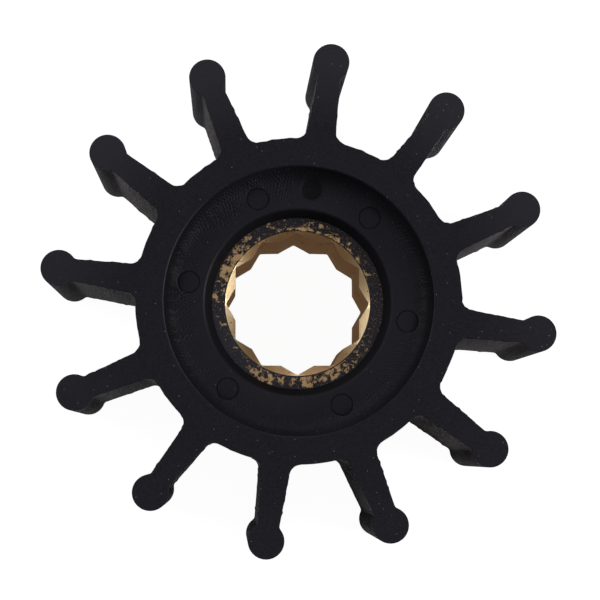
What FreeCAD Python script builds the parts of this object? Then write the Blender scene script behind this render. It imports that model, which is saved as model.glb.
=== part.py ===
import FreeCAD, Part
import math
import os
import Sketcher

# Flexible impeller of a raw-water pump: one moulded rubber body, a hub with straight blades that
# end in round bulbs, bonded onto a bronze insert with a twelve-point bore for the drive shaft.
# The bore axis is Z, the lower end face lies on Z = 0, and one blade points along +X.
# The sheet holds every driving size in millimetres, and angles in degrees.
SIZES = (
    ("impeller_width", 63.5, "length along the shaft, end face to end face"),
    ("tip_diameter", 95.0, "over the bulbs, blades unbent"),
    ("spline_across_flats", 23.0, "each of the two hexagons of the bore"),
    ("spline_clocking", 7.7, "a point of the bore, measured from the first blade"),
    ("spline_point_rounding", 0.5, "bottom of each of the bore's points"),
    ("lead_in_width", 1.54, "lead-in cone, from the teeth out to its mouth"),
    ("lead_in_depth", 1.6, "lead-in cone, from the insert's face down to the teeth"),
    ("insert_wall", 4.52, "metal between the bore's points and the insert's outside"),
    ("insert_cover", 1.9, "rubber lapping over the edge of the insert's face"),
    ("funnel_flare", 1.4, "how much the funnel's radius grows up to the recess floor"),
    ("funnel_depth", 4.25, "recess floor down to the insert"),
    ("lip_chamfer", 0.5, "edge between recess floor and funnel"),
    ("recess_width", 7.35, "recess floor with its hollow corner, from the funnel's mouth to the wall"),
    ("recess_depth", 7.0, "end face to the recess floor"),
    ("recess_corner", 3.5, "radius of the hollow corner between recess wall and floor"),
    ("rim_width", 5.2, "flat end face between each end's recess and the hub's outside"),
    ("rim_chamfer", 0.4, "edge between end face and recess wall"),
    ("blade_count", 12, "evenly spaced blades"),
    ("blade_root_width", 5.4, "blade thickness where it leaves the hub"),
    ("blade_neck_width", 3.8, "blade thickness carried on to the bulb's centre"),
    ("bulb_diameter", 6.7, "round sealing bead along the blade's tip"),
    ("root_fillet", 2.2, "blade to hub"),
    ("neck_fillet", 0.9, "blade to bulb"),
    ("pin_mark_count", 6, "ejector pin marks, in line with every second blade"),
    ("pin_mark_place", 3.2, "funnel's mouth to the middle of a pin mark"),
    ("pin_mark_diameter", 4.0, "outside of the witness line"),
    ("pin_mark_line", 0.2, "width and depth of the witness line"),
    ("dimple_place", 3.9, "funnel's mouth to the middle of the dimple"),
    ("dimple_angle", 90.0, "dimple, measured from the first blade"),
    ("dimple_diameter", 3.8, "across the dimple"),
    ("dimple_depth", 0.3, "below the recess floor"),
)

# A sketch edge's start, end and centre as the constraints number them, then the sketch's own
# origin and the axis that it lies on.
START, END, CENTRE = range(1, 4)
ORIGIN = (-1, START)
HORIZONTAL_AXIS = ORIGIN[0]

# Two lengths that agree this closely, in millimetres, are the same one.
TOLERANCE = 0.001

# Heights that several features share. The insert fills the hub between the two funnels.
UPPER_FLOOR = "(Sizes.impeller_width - Sizes.recess_depth)"
INSERT_FOOT = "(Sizes.recess_depth + Sizes.funnel_depth)"
INSERT_TOP = "(Sizes.impeller_width - Sizes.recess_depth - Sizes.funnel_depth)"

# Distances from the axis, from the bore outwards. Each builds on the one inside it, so that the
# hub's outside, 59.7 mm across, is where the widths of insert, funnel, recess and rim end.
TOOTH_RADIUS = "Sizes.spline_across_flats / (2 * cos(15 deg))"
POINT_RADIUS = "Sizes.spline_across_flats / (2 * cos(30 deg))"
INSERT_RADIUS = "(%s + Sizes.insert_wall)" % POINT_RADIUS
FUNNEL_FOOT = "(%s - Sizes.insert_cover)" % INSERT_RADIUS
FUNNEL_MOUTH = "(%s + Sizes.funnel_flare)" % FUNNEL_FOOT
RECESS_RADIUS = "(%s + Sizes.recess_width)" % FUNNEL_MOUTH
HUB_RADIUS = "(%s + Sizes.rim_width)" % RECESS_RADIUS
WEB_START = "(%s - Sizes.root_fillet)" % HUB_RADIUS
BULB_PLACE = "(Sizes.tip_diameter - Sizes.bulb_diameter) / 2"

# The hollow corner is turned as this many conical bands, and is never larger than its wall or floor.
CORNER_BANDS = 3
CORNER_WALL = "Sizes.recess_depth - Sizes.rim_chamfer"
CORNER_FLOOR = "Sizes.recess_width - Sizes.lip_chamfer"
CORNER_RADIUS = "min(Sizes.recess_corner; %s; %s)" % (CORNER_WALL, CORNER_FLOOR)


def write_sheet(document):
    """Enter the driving sizes in the sheet, one row each, with the value in column B."""
    sheet = document.addObject("Spreadsheet::Sheet", "Sizes")
    for row, (name, value, meaning) in enumerate(SIZES, start=1):
        sheet.set("A%d" % row, meaning)
        sheet.set("B%d" % row, str(value))
        sheet.setAlias("B%d" % row, name)
    document.recompute()


def origin_feature(body, role):
    """One of the body's own planes or axes, such as XY_Plane or Z_Axis."""
    return next(item for item in body.Origin.OriginFeatures if item.Role == role)


def new_sketch(body, name, plane, offset=None):
    """Attach an empty sketch to one of the body's planes, lifted along its normal by an expression."""
    sketch = body.newObject("Sketcher::SketchObject", name)
    sketch.AttachmentSupport = [(origin_feature(body, plane), "")]
    sketch.MapMode = "FlatFace"
    if offset:
        sketch.setExpression(".AttachmentOffset.Base.z", offset)
    return sketch


def dimension(sketch, expression, kind, *where):
    """Add a dimension that reads its value from the sheet."""
    value = float(sketch.evalExpression(expression))
    index = sketch.addConstraint(Sketcher.Constraint(kind, *where, value))
    sketch.setExpression("Constraints[%d]" % index, expression)


def place_point(sketch, edge, end, across, up):
    """Hold a point of an edge at its distances from the sketch's origin."""
    dimension(sketch, across, "DistanceX", *ORIGIN, edge, end)
    if up == "0":
        sketch.addConstraint(Sketcher.Constraint("PointOnObject", edge, end, HORIZONTAL_AXIS))
    else:
        dimension(sketch, up, "DistanceY", *ORIGIN, edge, end)


def draw_polygon(sketch, corners):
    """Draw a closed outline of straight edges through corners given as (across, up) expressions."""
    points = []
    for across, up in corners:
        points.append(FreeCAD.Vector(sketch.evalExpression(across), sketch.evalExpression(up), 0))
    count = len(points)
    for index in range(count):
        sketch.addGeometry(Part.LineSegment(points[index], points[(index + 1) % count]), False)
    for index in range(count):
        following = (index + 1) % count
        sketch.addConstraint(Sketcher.Constraint("Coincident", index, END, following, START))
    for index, (across, up) in enumerate(corners):
        place_point(sketch, index, START, across, up)


def draw_circle(sketch, across, up, diameter):
    """Draw a circle whose centre and diameter are expressions."""
    centre = FreeCAD.Vector(sketch.evalExpression(across), sketch.evalExpression(up), 0)
    radius = float(sketch.evalExpression(diameter)) / 2
    normal = FreeCAD.Vector(0, 0, 1)
    edge = sketch.addGeometry(Part.Circle(centre, normal, radius), False)
    if across == "0" and up == "0":
        sketch.addConstraint(Sketcher.Constraint("Coincident", edge, CENTRE, *ORIGIN))
    else:
        place_point(sketch, edge, CENTRE, across, up)
    dimension(sketch, diameter, "Diameter", edge)


def pad(body, name, sketch, length):
    """Extrude a sketch upwards."""
    feature = body.newObject("PartDesign::Pad", name)
    feature.Profile = sketch
    feature.setExpression("Length", length)
    return feature


def pocket(body, name, sketch, depth):
    """Cut a sketch downwards, to a depth or right through."""
    feature = body.newObject("PartDesign::Pocket", name)
    feature.Profile = sketch
    if depth == "through":
        feature.Type = "ThroughAll"
        feature.Midplane = True
    else:
        feature.setExpression("Length", depth)
    return feature


def turn(body, name, kind, sketch):
    """Add or cut a full turn of a sketch about the bore axis; kind is Revolution or Groove."""
    feature = body.newObject("PartDesign::" + kind, name)
    feature.Profile = sketch
    feature.ReferenceAxis = (origin_feature(body, "Z_Axis"), [""])
    feature.Angle = 360
    return feature


def polar_pattern(body, name, features, count, angle="360"):
    """Repeat features about the bore axis."""
    pattern = body.newObject("PartDesign::PolarPattern", name)
    pattern.Originals = features
    pattern.Axis = (origin_feature(body, "Z_Axis"), [""])
    pattern.setExpression("Angle", angle)
    pattern.setExpression("Occurrences", count)
    body.Tip = pattern


def mirror_to_lower_end(body, name, feature):
    """Repeat an end feature below the middle of the impeller."""
    middle = body.newObject("PartDesign::Plane", name + "Plane")
    middle.AttachmentSupport = [(origin_feature(body, "XY_Plane"), "")]
    middle.MapMode = "FlatFace"
    middle.setExpression(".AttachmentOffset.Base.z", "Sizes.impeller_width / 2")
    mirrored = body.newObject("PartDesign::Mirrored", name)
    mirrored.Originals = [feature]
    mirrored.MirrorPlane = (middle, [""])
    body.Tip = mirrored


def dress_edges(body, name, kind, size, chosen):
    """Fillet or chamfer every edge of the body's present shape that the test picks."""
    body.Document.recompute()
    base = body.Tip
    edges = []
    for number, edge in enumerate(base.Shape.Edges, start=1):
        if chosen(edge):
            edges.append("Edge%d" % number)
    feature = body.newObject("PartDesign::" + kind, name)
    feature.Base = (base, edges)
    feature.setExpression({"Fillet": "Radius", "Chamfer": "Size"}[kind], size)


def same(first, second):
    """True for two lengths that agree within the tolerance."""
    return abs(first - second) < TOLERANCE


def ring_test(body, radius, heights):
    """Test for circular edges about the axis with this radius, at any of these heights."""
    reach = float(body.evalExpression(radius))
    levels = [float(body.evalExpression(height)) for height in heights]

    def chosen(edge):
        if not isinstance(edge.Curve, Part.Circle) or not same(edge.Curve.Radius, reach):
            return False
        return any(same(edge.Curve.Center.z, level) for level in levels)

    return chosen


def upright_test(nearest, furthest):
    """Test for straight edges that run along Z, between these two distances from the axis."""

    def chosen(edge):
        if not isinstance(edge.Curve, Part.Line) or not same(abs(edge.Curve.Direction.z), 1):
            return False
        foot = edge.Vertexes[0].Point
        distance = math.hypot(foot.x, foot.y)
        return nearest - TOLERANCE < distance < furthest + TOLERANCE

    return chosen


def draw_web(sketch):
    """Draw one blade's web along the sketch's X axis, from inside the hub to the bulb's centre."""
    half_root = "Sizes.blade_root_width / 2"
    half_neck = "Sizes.blade_neck_width / 2"
    slope = "(%s - %s) / (%s - %s)" % (half_root, half_neck, BULB_PLACE, HUB_RADIUS)
    half_start = "%s + Sizes.root_fillet * %s" % (half_root, slope)
    draw_polygon(
        sketch,
        [
            (WEB_START, "-(%s)" % half_start),
            (BULB_PLACE, "-%s" % half_neck),
            (BULB_PLACE, half_neck),
            (WEB_START, half_start),
        ],
    )


def hollow_corner():
    """Points of the recess's hollow corner, from the floor up to the wall, as (across, up) expressions."""
    centre = "%s - %s" % (RECESS_RADIUS, CORNER_RADIUS)
    points = []
    for step in range(CORNER_BANDS + 1):
        angle = "%g deg" % (90 * step / CORNER_BANDS)
        across = "%s + %s * sin(%s)" % (centre, CORNER_RADIUS, angle)
        up = "%s + %s * (1 - cos(%s))" % (UPPER_FLOOR, CORNER_RADIUS, angle)
        points.append((across, up))
    return points


def make_rubber(document):
    """The moulded rubber: hub, blades, end recesses and the cavity that the insert fills."""
    body = document.addObject("PartDesign::Body", "RubberImpeller")
    body.Label = "rubber_impeller"

    # Hub and blades are one extrusion in the mould, so both run the impeller's whole width.
    hub_sketch = new_sketch(body, "HubOutline", "XY_Plane")
    draw_circle(hub_sketch, "0", "0", "2 * %s" % HUB_RADIUS)
    pad(body, "Hub", hub_sketch, "Sizes.impeller_width")
    web_sketch = new_sketch(body, "WebOutline", "XY_Plane")
    draw_web(web_sketch)
    web = pad(body, "Web", web_sketch, "Sizes.impeller_width")
    bulb_sketch = new_sketch(body, "BulbOutline", "XY_Plane")
    draw_circle(bulb_sketch, BULB_PLACE, "0", "Sizes.bulb_diameter")
    bulb = pad(body, "Bulb", bulb_sketch, "Sizes.impeller_width")
    polar_pattern(body, "Blades", [web, bulb], "Sizes.blade_count")

    # The blades leave the hub and join their bulbs in moulded fillets.
    hub_radius = float(body.evalExpression(HUB_RADIUS))
    bulb_place = float(body.evalExpression(BULB_PLACE))
    halfway = (hub_radius + bulb_place) / 2
    dress_edges(body, "NeckFillets", "Fillet", "Sizes.neck_fillet", upright_test(halfway, bulb_place))
    dress_edges(body, "RootFillets", "Fillet", "Sizes.root_fillet", upright_test(hub_radius, halfway))

    # Each end of the hub is dished, and the dish's floor opens in a funnel down to the insert.
    recess_sketch = new_sketch(body, "RecessSection", "XZ_Plane")
    draw_polygon(
        recess_sketch,
        [
            ("0", "Sizes.impeller_width"),
            ("0", INSERT_TOP),
            (FUNNEL_FOOT, INSERT_TOP),
            (FUNNEL_MOUTH, UPPER_FLOOR),
            *hollow_corner(),
            (RECESS_RADIUS, "Sizes.impeller_width"),
        ],
    )
    upper_recess = turn(body, "UpperRecess", "Groove", recess_sketch)
    mirror_to_lower_end(body, "LowerRecess", upper_recess)

    # The cavity is the insert's own outside: the rubber is bonded to it and leaves no gap.
    cavity_sketch = new_sketch(body, "CavitySection", "XZ_Plane")
    draw_polygon(
        cavity_sketch,
        [("0", INSERT_FOOT), (INSERT_RADIUS, INSERT_FOOT), (INSERT_RADIUS, INSERT_TOP), ("0", INSERT_TOP)],
    )
    turn(body, "InsertCavity", "Groove", cavity_sketch)

    # Broken edges of the recesses at both ends.
    both_faces = ("0", "Sizes.impeller_width")
    both_floors = ("Sizes.recess_depth", UPPER_FLOOR)
    rims = ring_test(body, RECESS_RADIUS, both_faces)
    lips = ring_test(body, FUNNEL_MOUTH, both_floors)
    dress_edges(body, "RimChamfer", "Chamfer", "Sizes.rim_chamfer", rims)
    dress_edges(body, "LipChamfer", "Chamfer", "Sizes.lip_chamfer", lips)

    # The mould's ejector pins leave thin round witness lines in the upper recess floor only. They
    # are cut from above, because their outer edge runs a little way into the hollow corner.
    pin_sketch = new_sketch(body, "PinMarkOutline", "XY_Plane", "Sizes.impeller_width")
    pin_place = "%s + Sizes.pin_mark_place" % FUNNEL_MOUTH
    draw_circle(pin_sketch, pin_place, "0", "Sizes.pin_mark_diameter")
    draw_circle(pin_sketch, pin_place, "0", "Sizes.pin_mark_diameter - 2 * Sizes.pin_mark_line")
    pin_mark = pocket(body, "PinMark", pin_sketch, "Sizes.recess_depth + Sizes.pin_mark_line")
    polar_pattern(body, "PinMarks", [pin_mark], "Sizes.pin_mark_count")

    # One shallow round dimple lies on the same floor, between two of the marks.
    dimple_sketch = new_sketch(body, "DimpleOutline", "XY_Plane", "Sizes.impeller_width")
    dimple_place = "(%s + Sizes.dimple_place)" % FUNNEL_MOUTH
    draw_circle(
        dimple_sketch,
        "%s * cos(Sizes.dimple_angle * 1 deg)" % dimple_place,
        "%s * sin(Sizes.dimple_angle * 1 deg)" % dimple_place,
        "Sizes.dimple_diameter",
    )
    pocket(body, "Dimple", dimple_sketch, "Sizes.recess_depth + Sizes.dimple_depth")
    return body


def make_insert(document):
    """The turned bronze insert, plain outside where the rubber is bonded, with a twelve-point bore."""
    body = document.addObject("PartDesign::Body", "BronzeInsert")
    body.Label = "bronze_insert"

    # Bar stock turned to length and diameter, standing in the middle of the rubber hub.
    bar_sketch = new_sketch(body, "BarOutline", "XY_Plane", INSERT_FOOT)
    draw_circle(bar_sketch, "0", "0", "2 * %s" % INSERT_RADIUS)
    pad(body, "Bar", bar_sketch, "%s - %s" % (INSERT_TOP, INSERT_FOOT))

    # The twelve-point bore is one broached hexagon and the same again, turned by half its pitch.
    hexagon_sketch = new_sketch(body, "HexagonOutline", "XY_Plane")
    corners = []
    for point in range(6):
        angle = "(Sizes.spline_clocking + %d) * 1 deg" % (point * 60)
        corners.append(("%s * cos(%s)" % (POINT_RADIUS, angle), "%s * sin(%s)" % (POINT_RADIUS, angle)))
    draw_polygon(hexagon_sketch, corners)
    hexagon = pocket(body, "Hexagon", hexagon_sketch, "through")
    polar_pattern(body, "TwelvePoints", [hexagon], "2", "30")
    point_radius = float(body.evalExpression(POINT_RADIUS))
    points = upright_test(point_radius, point_radius)
    dress_edges(body, "PointRounding", "Fillet", "Sizes.spline_point_rounding", points)

    # A lead-in cone at each end runs from the mouth down to the teeth.
    cone_sketch = new_sketch(body, "LeadInSection", "XZ_Plane")
    cone_foot = "%s - Sizes.lead_in_depth" % INSERT_TOP
    draw_polygon(
        cone_sketch,
        [
            ("0", INSERT_TOP),
            ("0", cone_foot),
            (TOOTH_RADIUS, cone_foot),
            ("%s + Sizes.lead_in_width" % TOOTH_RADIUS, INSERT_TOP),
        ],
    )
    upper_cone = turn(body, "UpperLeadIn", "Groove", cone_sketch)
    mirror_to_lower_end(body, "LowerLeadIn", upper_cone)
    return body


def check(document, bodies):
    """Stop if any feature failed or any piece is not one sound solid."""
    document.recompute()
    for item in document.Objects:
        if "Invalid" in item.State or "Error" in item.State:
            raise RuntimeError("%s did not compute: %s" % (item.Name, item.State))
    for body in bodies:
        if body.Shape.isNull() or not body.Shape.isValid() or len(body.Shape.Solids) != 1:
            raise RuntimeError("%s is not one sound solid" % body.Label)


document = FreeCAD.newDocument("PumpImpeller")
write_sheet(document)
pieces = [make_rubber(document), make_insert(document)]
check(document, pieces)
os.makedirs("parts", exist_ok=True)
for piece in pieces:
    piece.Shape.exportStep("parts/%s.step" % piece.Label)
    print("%s: %.1f mm3" % (piece.Label, piece.Shape.Volume))
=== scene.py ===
import math

import bmesh
import bpy
from mathutils import Matrix, Vector


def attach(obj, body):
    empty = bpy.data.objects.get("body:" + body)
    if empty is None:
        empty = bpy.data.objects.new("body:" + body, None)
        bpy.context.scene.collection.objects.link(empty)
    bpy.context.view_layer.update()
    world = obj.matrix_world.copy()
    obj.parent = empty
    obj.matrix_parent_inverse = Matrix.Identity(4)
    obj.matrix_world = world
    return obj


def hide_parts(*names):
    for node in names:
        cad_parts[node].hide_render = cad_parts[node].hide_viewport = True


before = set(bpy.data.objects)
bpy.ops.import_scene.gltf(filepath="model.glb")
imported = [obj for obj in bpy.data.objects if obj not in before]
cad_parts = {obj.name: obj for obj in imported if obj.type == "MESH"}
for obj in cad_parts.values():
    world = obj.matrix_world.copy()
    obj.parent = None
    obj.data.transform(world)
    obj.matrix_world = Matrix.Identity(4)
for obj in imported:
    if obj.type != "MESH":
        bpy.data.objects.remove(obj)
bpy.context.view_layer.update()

# Camera. The impeller is seen almost straight down its bore, from a little in front, with one
# blade turned 7.7 degrees down from the picture's right. The long lens keeps the two ends nearly
# the same size, and only a strip of each blade's flank shows beside its end face.
MM = 0.001
IMPELLER_WIDTH = 63.5 * MM
PICTURE_TURN = math.radians(7.74)
CAMERA_PLACE = Vector((-8.89 * MM, -28.91 * MM, IMPELLER_WIDTH + 619.5 * MM))
AIM_RIGHT_OF_AXIS = 0.22 * MM
AIM_ABOVE_AXIS = 0.16 * MM
LENS_LENGTH = 204.06
SENSOR_WIDTH = 36
NEAREST_SEEN = 0.05

picture_right = Vector((math.cos(PICTURE_TURN), math.sin(PICTURE_TURN), 0))
picture_up = Vector((-math.sin(PICTURE_TURN), math.cos(PICTURE_TURN), 0))
aim_off_axis = picture_right * AIM_RIGHT_OF_AXIS + picture_up * AIM_ABOVE_AXIS
look_at = aim_off_axis + Vector((0, 0, IMPELLER_WIDTH))
look_along = (look_at - CAMERA_PLACE).normalized()
camera_right = look_along.cross(picture_up).normalized()
camera_up = camera_right.cross(look_along)
camera_turn = Matrix((camera_right, camera_up, -look_along)).transposed()

bpy.ops.object.camera_add()
camera = bpy.context.object
camera.name = "camera"
camera.data.sensor_width = SENSOR_WIDTH
camera.data.lens = LENS_LENGTH
camera.data.clip_start = NEAREST_SEEN
camera.matrix_world = Matrix.Translation(CAMERA_PLACE) @ camera_turn.to_4x4()
bpy.context.scene.camera = camera


# The rubber moulding: hub, twelve blades and both dished ends are one shot of black nitrile
# rubber, cured and bonded round the bronze insert in a mould whose outline runs straight through.
# The mould's turning marks, six ejector pins and one dimple show on the dished floor.
BLADE_COUNT = 12
TIP_RADIUS = 47.5 * MM
HUB_RADIUS = 29.85 * MM
BULB_RADIUS = 3.35 * MM
BULB_PLACE = TIP_RADIUS - BULB_RADIUS
HALF_ROOT = 2.7 * MM
HALF_NECK = 1.9 * MM
ROOT_FILLET = 2.2 * MM
NECK_FILLET = 0.9 * MM
OUTLINE_EDGE = 0.14 * MM
FLASH_HEIGHT = 0.6 * MM
FLASH_WAVE = 0.22 * MM
FLASH_SEED = 4
RIM_RADIUS = 24.65 * MM
RIM_EDGE = 0.4 * MM
RECESS_DEPTH = 7.0 * MM
RECESS_CORNER = 3.5 * MM
LIP_RADIUS = 17.3 * MM
LIP_EDGE = 0.5 * MM
FUNNEL_FOOT = 15.9 * MM
FUNNEL_DEPTH = 4.25 * MM
INSERT_RADIUS = 17.8 * MM
INSERT_LENGTH = 41.0 * MM
BOND_LINE = 0.02 * MM
PIN_MARK_PLACE = 20.5 * MM
PIN_MARK_ANGLES = (-2, 57.5, 119, 177, 238.5, 301)
PIN_MARK_RADIUS = 2.05 * MM
PIN_MARK_LINE = 0.17 * MM
PIN_MARK_DEPTH = 0.25 * MM
PIN_END_DEPTH = 0.02 * MM
DIMPLE_PLACE = 21.15 * MM
DIMPLE_ANGLE = 91
DIMPLE_RADIUS = 1.9 * MM
DIMPLE_DEPTH = 0.3 * MM
DIMPLE_EDGE = 0.2 * MM
TOP = IMPELLER_WIDTH
UPPER_FLOOR = TOP - RECESS_DEPTH
INSERT_TOP = UPPER_FLOOR - FUNNEL_DEPTH

# Each curve is drawn in this many steps. Edges turned by more degrees than SHARP_RUBBER_EDGE stay
# sharp, and points closer than SAME_PLACE are merged.
HUB_STEPS = 3
ROOT_STEPS = 6
FLANK_STEPS = 16
NECK_STEPS = 5
BULB_STEPS = 14
SECTOR_STEPS = 16
RIM_STEPS = 4
CORNER_STEPS = 9
LIP_STEPS = 5
MARK_STEPS = 40
SHARP_RUBBER_EDGE = 28
SAME_PLACE = 0.002 * MM
NEARBY = 0.01 * MM
SECTION_AXIS = (0, 1, 0)


def around(radius, degrees):
    """The point at a distance from the bore's axis in a direction counted from the first blade."""
    return Vector((radius * math.cos(math.radians(degrees)), radius * math.sin(math.radians(degrees))))


def start_at(name, across, along, up):
    """Begin a piece in edit mode as one selected point."""
    bpy.ops.object.select_all(action="DESELECT")
    bpy.ops.mesh.primitive_plane_add(size=MM, location=(0, 0, 0))
    piece = bpy.context.object
    piece.name = name
    piece.data.name = name
    bpy.ops.object.mode_set(mode="EDIT")
    bpy.ops.mesh.select_mode(type="VERT")
    bpy.ops.mesh.select_all(action="SELECT")
    bpy.ops.mesh.merge(type="CENTER")
    bpy.ops.transform.translate(value=(across, along, up))
    return piece


def draw_point(across, along, up):
    """Extrude the one selected point by a step."""
    bpy.ops.mesh.extrude_vertices_move(TRANSFORM_OT_translate={"value": (across, along, up)})


def draw_arc(centre, degrees, steps, axis=(0, 0, -1)):
    """Spin the selection about a centre; with this axis, positive degrees turn it anticlockwise."""
    bpy.ops.mesh.spin(steps=steps, angle=math.radians(degrees), center=centre, axis=axis)


def merge_close():
    """Merge the points in edit mode that lie in one place, and leave everything selected."""
    bpy.ops.mesh.select_all(action="SELECT")
    bpy.ops.mesh.remove_doubles(threshold=SAME_PLACE)
    bpy.ops.mesh.select_all(action="SELECT")


def add_mirrored(flip, centre):
    """Add the mirror image of what is in edit mode, and weld the two halves."""
    bpy.ops.mesh.select_all(action="SELECT")
    bpy.ops.mesh.duplicate()
    bpy.ops.transform.resize(value=flip, center_override=centre)
    merge_close()


def extrude_sectors(count, length):
    """Fill the sector in edit mode, repeat it round the axis, and extrude the whole downwards."""
    merge_close()
    bpy.ops.mesh.edge_face_add()
    bpy.ops.mesh.spin(steps=count, dupli=True, angle=math.tau, center=(0, 0, 0), axis=(0, 0, 1))
    merge_close()
    bpy.ops.mesh.extrude_region_move(TRANSFORM_OT_translate={"value": (0, 0, -length)})


def turn_round(steps):
    """Turn the section in edit mode right round the axis, and leave edit mode."""
    bpy.ops.mesh.select_all(action="SELECT")
    draw_arc((0, 0, 0), 360, steps)
    bpy.ops.object.mode_set(mode="OBJECT")


def select_where(piece, chosen, kind="VERT"):
    """Select a piece's points, edges or faces in edit mode by a test of their middle."""
    bpy.ops.mesh.select_mode(type=kind)
    bpy.ops.mesh.select_all(action="DESELECT")
    mesh = bmesh.from_edit_mesh(piece.data)
    if kind == "VERT":
        for point in mesh.verts:
            point.select_set(chosen(point.co))
    elif kind == "EDGE":
        for edge in mesh.edges:
            edge.select_set(chosen((edge.verts[0].co + edge.verts[1].co) / 2))
    else:
        for face in mesh.faces:
            face.select_set(chosen(face.calc_center_median()))
    mesh.select_flush_mode()
    bmesh.update_edit_mesh(piece.data)


def make_active(piece):
    """Select one object alone."""
    bpy.ops.object.select_all(action="DESELECT")
    piece.select_set(True)
    bpy.context.view_layer.objects.active = piece


def close_up(piece):
    """Merge the points that meet at a piece's seams and poles, and face its surface outwards."""
    make_active(piece)
    bpy.ops.object.mode_set(mode="EDIT")
    merge_close()
    bpy.ops.mesh.normals_make_consistent(inside=False)
    bpy.ops.object.mode_set(mode="OBJECT")


def cut_away(piece, cutter):
    """Cut one object's space out of a piece and remove the cutter."""
    bpy.context.view_layer.objects.active = piece
    cut = piece.modifiers.new("cut", "BOOLEAN")
    cut.operation = "DIFFERENCE"
    cut.solver = "EXACT"
    cut.object = cutter
    bpy.ops.object.modifier_apply(modifier=cut.name)
    bpy.data.objects.remove(cutter)


def smooth(piece, degrees):
    """Shade a piece smooth, but for edges sharper than an angle, and keep its flats flat."""
    make_active(piece)
    bpy.ops.object.shade_smooth_by_angle(angle=math.radians(degrees))
    weighted = piece.modifiers.new("weighted", "WEIGHTED_NORMAL")
    weighted.keep_sharp = True
    bpy.ops.object.modifier_apply(modifier=weighted.name)


def turn_between(centre, first, last):
    """Degrees from one point to another about a centre, seen from above."""
    start = math.atan2(first[1] - centre[1], first[0] - centre[0])
    finish = math.atan2(last[1] - centre[1], last[0] - centre[0])
    return math.degrees(math.remainder(finish - start, math.tau))


# Half a blade's outline runs from midway between two blades, round the root fillet, out along
# the flank and round the neck fillet onto the bulb. Each fillet's centre stands off both curves.
flank_run = Vector((BULB_PLACE - HUB_RADIUS, HALF_NECK - HALF_ROOT)).normalized()
flank_out = Vector((-flank_run.y, flank_run.x))
flank_level = flank_out.dot(Vector((HUB_RADIUS, HALF_ROOT)))
bulb_centre = Vector((BULB_PLACE, 0))
root_level = flank_level + ROOT_FILLET
root_along = math.sqrt((HUB_RADIUS + ROOT_FILLET) ** 2 - root_level**2)
root_centre = flank_out * root_level + flank_run * root_along
root_on_hub = root_centre * HUB_RADIUS / (HUB_RADIUS + ROOT_FILLET)
root_on_flank = root_centre - flank_out * ROOT_FILLET
neck_level = flank_level + NECK_FILLET
neck_rise = neck_level - bulb_centre.dot(flank_out)
neck_reach = math.sqrt((BULB_RADIUS + NECK_FILLET) ** 2 - neck_rise**2)
neck_centre = flank_out * neck_level + flank_run * (bulb_centre.dot(flank_run) - neck_reach)
neck_on_flank = neck_centre - flank_out * NECK_FILLET
neck_on_bulb = bulb_centre + (neck_centre - bulb_centre) * BULB_RADIUS / (BULB_RADIUS + NECK_FILLET)
half_pitch = math.radians(180 / BLADE_COUNT)
midway = HUB_RADIUS * Vector((math.cos(half_pitch), math.sin(half_pitch)))

rubber = start_at("moulded_rubber", midway.x, midway.y, TOP)
draw_arc((0, 0, 0), turn_between((0, 0), midway, root_on_hub), HUB_STEPS)
draw_arc((*root_centre, 0), turn_between(root_centre, root_on_hub, root_on_flank), ROOT_STEPS)
flank_step = (neck_on_flank - root_on_flank) / FLANK_STEPS
for _ in range(FLANK_STEPS):
    draw_point(flank_step.x, flank_step.y, 0)
draw_arc((*neck_centre, 0), turn_between(neck_centre, neck_on_flank, neck_on_bulb), NECK_STEPS)
draw_arc((*bulb_centre, 0), turn_between(bulb_centre, neck_on_bulb, (TIP_RADIUS, 0)), BULB_STEPS)

# The other half is its mirror image. The rim of the recess closes the sector, which is repeated
# for the twelve blades and extruded through the width. The wall round the middle comes out again
# to leave the way open for the recesses.
add_mirrored((1, -1, 1), (0, 0, TOP))
select_where(rubber, lambda place: (place.xy - midway).length < SAME_PLACE)
inward = midway.normalized() * (RIM_RADIUS + RIM_EDGE - HUB_RADIUS)
draw_point(inward.x, inward.y, 0)
draw_arc((0, 0, 0), -360 / BLADE_COUNT, SECTOR_STEPS)
draw_point(-inward.x, inward.y, 0)
extrude_sectors(BLADE_COUNT, IMPELLER_WIDTH)
rim_outside = RIM_RADIUS + RIM_EDGE + NEARBY
select_where(
    rubber, lambda place: place.xy.length < rim_outside and abs(place.z - TOP / 2) < MM, "FACE"
)
bpy.ops.mesh.delete(type="ONLY_FACE")
bpy.ops.mesh.select_all(action="SELECT")
bpy.ops.mesh.normals_make_consistent(inside=False)

# Where the mould closed on its end plates, a trace of flash leaves the edges of hub and webs
# wavy. The sharp mould leaves the outline's edges only just broken.
web_end = BULB_PLACE - BULB_RADIUS
for end, inward_step in ((TOP, -FLASH_HEIGHT), (0, FLASH_HEIGHT)):
    bpy.ops.mesh.select_all(action="SELECT")
    bpy.ops.mesh.bisect(plane_co=(0, 0, end + inward_step), plane_no=(0, 0, 1))
    select_where(
        rubber, lambda place: abs(place.z - end) < NEARBY and rim_outside < place.xy.length < web_end
    )
    bpy.ops.transform.vertex_random(offset=FLASH_WAVE, uniform=0, normal=0, seed=FLASH_SEED)
    bpy.ops.transform.resize(value=(1, 1, 0), center_override=(0, 0, end))
select_where(
    rubber,
    lambda place: place.xy.length > rim_outside and not NEARBY < place.z < TOP - NEARBY,
    "EDGE",
)
mesh = bmesh.from_edit_mesh(rubber.data)
for edge in mesh.edges:
    upright = [face for face in edge.link_faces if abs(face.normal.z) < 0.5]
    edge.select_set(edge.select and len(upright) == 1)
bmesh.update_edit_mesh(rubber.data)
bpy.ops.mesh.bevel(offset=OUTLINE_EDGE, segments=2, affect="EDGES")
bpy.ops.object.mode_set(mode="OBJECT")

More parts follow.
